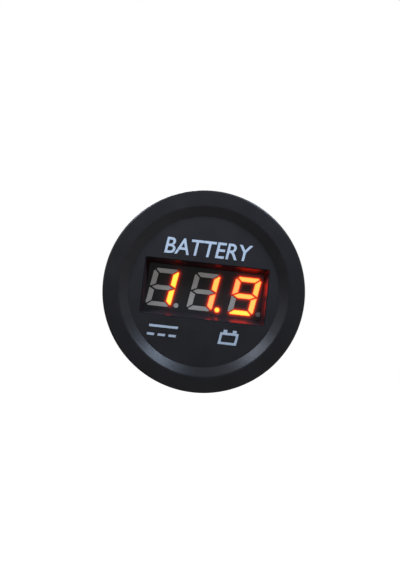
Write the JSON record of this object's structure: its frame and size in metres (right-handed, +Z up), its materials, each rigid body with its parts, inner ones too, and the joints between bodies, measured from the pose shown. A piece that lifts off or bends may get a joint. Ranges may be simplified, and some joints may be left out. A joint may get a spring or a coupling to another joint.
{
  "type": "panel voltmeter",
  "caption": "Round panel-mount digital DC voltmeter: black flanged barrel with a recessed face, a segment display in a window, ring nut, washer and rear blade terminals.",
  "frame": {"origin": "centre of the panel hole, on the plane of the flange's back face", "axes": "+Y along the barrel, away from the reader; +Z up on the face; +X to the reader's right"},
  "size_m": [0.037, 0.0434, 0.037],
  "materials": {
    "black_plastic": "fine matte moulded black plastic",
    "nut_plastic": "matte moulded black plastic",
    "washer_plastic": "matte black plastic sheet",
    "display_plastic": "matte black display face",
    "potting": "cast epoxy",
    "lit_epoxy": "lit red segment",
    "unlit_epoxy": "milky unlit segment",
    "laminate": "green solder mask",
    "chip_black": "moulded package",
    "aluminium_can": "bare can",
    "ceramic_tan": "fired ceramic",
    "trimmer_blue": "moulded",
    "rotor_white": "moulded",
    "nickel": "nickel-plated brass strip",
    "red_sleeve": "wire insulation",
    "black_sleeve": "wire insulation"
  },
  "bodies": {
    "housing": {"ceramic_capacitor": "ceramic_tan", "chip_resistor_1": "ceramic_tan", "chip_resistor_2": "ceramic_tan", "chip_resistor_3": "ceramic_tan", "chip_resistor_4": "ceramic_tan", "digit_1_point": "unlit_epoxy", "digit_1_segment_a": "unlit_epoxy", "digit_1_segment_b": "lit_epoxy", "digit_1_segment_c": "lit_epoxy", "digit_1_segment_d": "unlit_epoxy", "digit_1_segment_e": "unlit_epoxy", "digit_1_segment_f": "unlit_epoxy", "digit_1_segment_g": "unlit_epoxy", "digit_2_point": "lit_epoxy", "digit_2_segment_a": "unlit_epoxy", "digit_2_segment_b": "lit_epoxy", "digit_2_segment_c": "lit_epoxy", "digit_2_segment_d": "unlit_epoxy", "digit_2_segment_e": "unlit_epoxy", "digit_2_segment_f": "unlit_epoxy", "digit_2_segment_g": "unlit_epoxy", "digit_3_point": "unlit_epoxy", "digit_3_segment_a": "lit_epoxy", "digit_3_segment_b": "lit_epoxy", "digit_3_segment_c": "lit_epoxy", "digit_3_segment_d": "lit_epoxy", "digit_3_segment_e": "unlit_epoxy", "digit_3_segment_f": "lit_epoxy", "digit_3_segment_g": "lit_epoxy", "display_base": "potting", "display_case": "display_plastic", "filter_capacitor": "aluminium_can", "front_housing": "black_plastic", "lead_negative": "black_sleeve", "lead_positive": "red_sleeve", "main_board": "laminate", "microcontroller": "chip_black", "polarity_diode": "chip_black", "rear_cap": "black_plastic", "terminal_negative": "nickel", "terminal_positive": "nickel", "trimmer_body": "trimmer_blue", "trimmer_rotor": "rotor_white", "voltage_regulator": "chip_black"},
    "washer": {"panel_washer": "washer_plastic"},
    "nut": {"mounting_nut": "nut_plastic"}
  },
  "joints": [
    {"name": "washer_slide", "type": "slide", "parent": "housing", "child": "washer", "axis": [0, 1, 0], "range_m": [-0.005, 0.012]},
    {"name": "nut_turn", "type": "hinge", "parent": "washer", "child": "nut", "pos_m": [0, 0.0112, 0], "axis": [0, 1, 0], "range_deg": [-900, 2160]}
  ],
  "couplings": [
    {"joint": "washer_slide", "follows": "nut_turn", "m_per_rad": 0.00031831}
  ]
}
